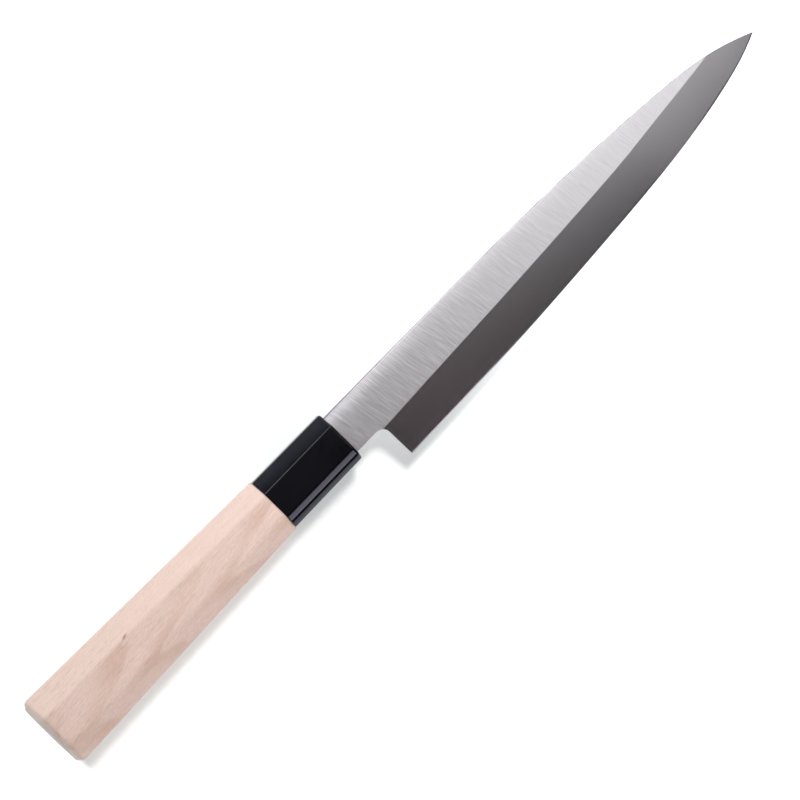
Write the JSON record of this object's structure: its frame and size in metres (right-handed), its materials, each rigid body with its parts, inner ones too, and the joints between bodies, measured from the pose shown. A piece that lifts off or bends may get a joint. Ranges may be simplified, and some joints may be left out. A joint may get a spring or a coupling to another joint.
{
  "type": "yanagiba knife",
  "caption": "Long, slender single-bevel slicing knife with a hollow-ground flat side and a tapered eight-sided wooden handle behind a black ferrule.",
  "frame": {"origin": "the middle of the knife's box, on the plane that the handle's left side touches", "axes": "+X from the butt to the tip, +Y from the edge to the spine, +Z out of the blade's bevelled right side, so the knife lies on its left side"},
  "size_m": [0.346, 0.0366, 0.0223],
  "materials": {
    "brushed_blade_steel": "satin, brushed across the blade",
    "black_moulded_ferrule": "polished",
    "magnolia_wood": "sanded and unvarnished",
    "amber_resin": "cast"
  },
  "bodies": {
    "root": {"blade": "brushed_blade_steel", "ferrule": "black_moulded_ferrule", "handle": "magnolia_wood", "tang_bedding": "amber_resin"}
  },
  "joints": []
}
